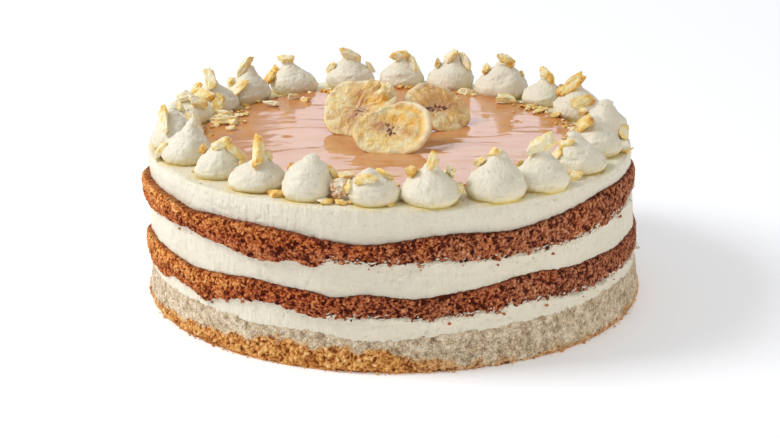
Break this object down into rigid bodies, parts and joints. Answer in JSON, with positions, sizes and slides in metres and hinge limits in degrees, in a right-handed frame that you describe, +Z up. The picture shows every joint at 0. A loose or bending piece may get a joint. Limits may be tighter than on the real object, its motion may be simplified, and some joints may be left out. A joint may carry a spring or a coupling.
{
  "type": "banana cream pie cake",
  "caption": "Round layer cake with bands of blond and brown sponge between cream, a caramel pool on top, a ring of piped cream dollops with chopped nuts, and dried banana slices.",
  "frame": {"origin": "middle of the flat underside of the bottom sponge, where the cake rests", "axes": "+Z up through the layers, -Y towards the viewer of the picture, +X to the viewer's right"},
  "size_m": [0.2314, 0.2311, 0.0943],
  "materials": {
    "blond_sponge": "fine dry crumb with a browned foot",
    "brown_sponge": "coarse open crumb",
    "cream": "smooth scraped cream",
    "cream_and_nuts": "smooth piped cream with chopped nuts",
    "caramel": "glossy poured caramel",
    "banana": "dried, slightly leathery"
  },
  "bodies": {
    "root": {"cake_base": "blond_sponge", "cream_lower": "cream", "cake_lower": "brown_sponge", "cream_middle": "cream", "cake_upper": "brown_sponge", "cream_top": "cream_and_nuts", "caramel": "caramel", "dollop_01": "cream_and_nuts", "dollop_02": "cream_and_nuts", "dollop_03": "cream_and_nuts", "dollop_04": "cream_and_nuts", "dollop_05": "cream_and_nuts", "dollop_06": "cream_and_nuts", "dollop_07": "cream_and_nuts", "dollop_08": "cream_and_nuts", "dollop_09": "cream_and_nuts", "dollop_10": "cream_and_nuts", "dollop_11": "cream_and_nuts", "dollop_12": "cream_and_nuts", "dollop_13": "cream_and_nuts", "dollop_14": "cream_and_nuts", "dollop_15": "cream_and_nuts", "dollop_16": "cream_and_nuts", "dollop_17": "cream_and_nuts", "dollop_18": "cream_and_nuts", "dollop_19": "cream_and_nuts", "dollop_20": "cream_and_nuts", "dollop_21": "cream_and_nuts", "dollop_22": "cream_and_nuts", "dollop_23": "cream_and_nuts", "banana_slice_1": "banana", "banana_slice_2": "banana", "banana_slice_3": "banana"}
  },
  "joints": []
}
